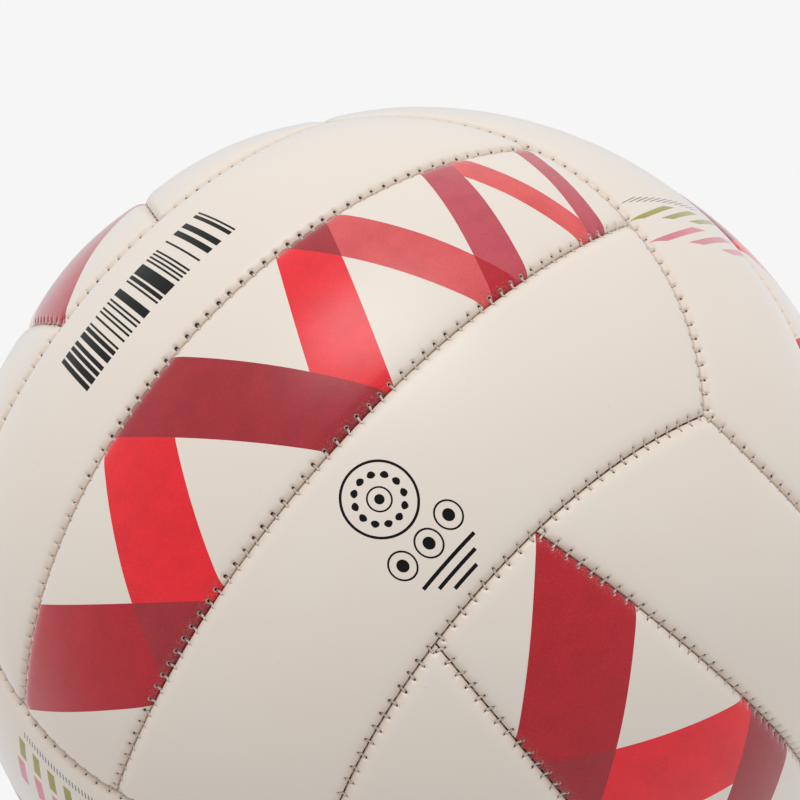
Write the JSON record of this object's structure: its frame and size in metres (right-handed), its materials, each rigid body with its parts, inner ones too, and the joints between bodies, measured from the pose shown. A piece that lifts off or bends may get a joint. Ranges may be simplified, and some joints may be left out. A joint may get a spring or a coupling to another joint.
{
  "type": "gaelic football",
  "caption": "Hand-stitched ball of crowned leather panels over an air bladder with a needle valve, for field games played with hand and foot.",
  "frame": {"origin": "centre of the ball", "axes": "+Y out through the valve; +Z through the middle of the top group of strips, which run along X; +X through the right group, whose strips run along Y"},
  "size_m": [0.207, 0.2067, 0.207],
  "materials": {
    "cover": "satin off-white synthetic leather with a fine grain",
    "lining": "plain woven cotton and polyester laminate",
    "thread": "waxed twisted thread",
    "bladder": "smooth butyl rubber",
    "valve": "moulded rubber",
    "plug": "soft rubber",
    "patch": "rubberised cloth"
  },
  "bodies": {
    "root": {"cover_top_middle": "cover", "cover_top_a": "cover", "cover_top_b": "cover", "cover_bottom_middle": "cover", "cover_bottom_a": "cover", "cover_bottom_b": "cover", "cover_right_middle": "cover", "cover_right_a": "cover", "cover_right_b": "cover", "cover_left_middle": "cover", "cover_left_a": "cover", "cover_left_b": "cover", "cover_back_middle": "cover", "cover_back_a": "cover", "cover_back_b": "cover", "cover_front_middle": "cover", "cover_front_a": "cover", "cover_front_b": "cover", "lining_top_middle": "lining", "lining_top_a": "lining", "lining_top_b": "lining", "lining_bottom_middle": "lining", "lining_bottom_a": "lining", "lining_bottom_b": "lining", "lining_right_middle": "lining", "lining_right_a": "lining", "lining_right_b": "lining", "lining_left_middle": "lining", "lining_left_a": "lining", "lining_left_b": "lining", "lining_back_middle": "lining", "lining_back_a": "lining", "lining_back_b": "lining", "lining_front_middle": "lining", "lining_front_a": "lining", "lining_front_b": "lining", "thread_top_a": "thread", "thread_top_b": "thread", "thread_bottom_a": "thread", "thread_bottom_b": "thread", "thread_right_a": "thread", "thread_right_b": "thread", "thread_left_a": "thread", "thread_left_b": "thread", "thread_back_a": "thread", "thread_back_b": "thread", "thread_front_a": "thread", "thread_front_b": "thread", "thread_corner_back_right": "thread", "thread_corner_front_right": "thread", "thread_corner_back_left": "thread", "thread_corner_front_left": "thread", "bladder": "bladder", "valve_housing": "valve", "valve_plug": "plug", "valve_patch": "patch"}
  },
  "joints": []
}
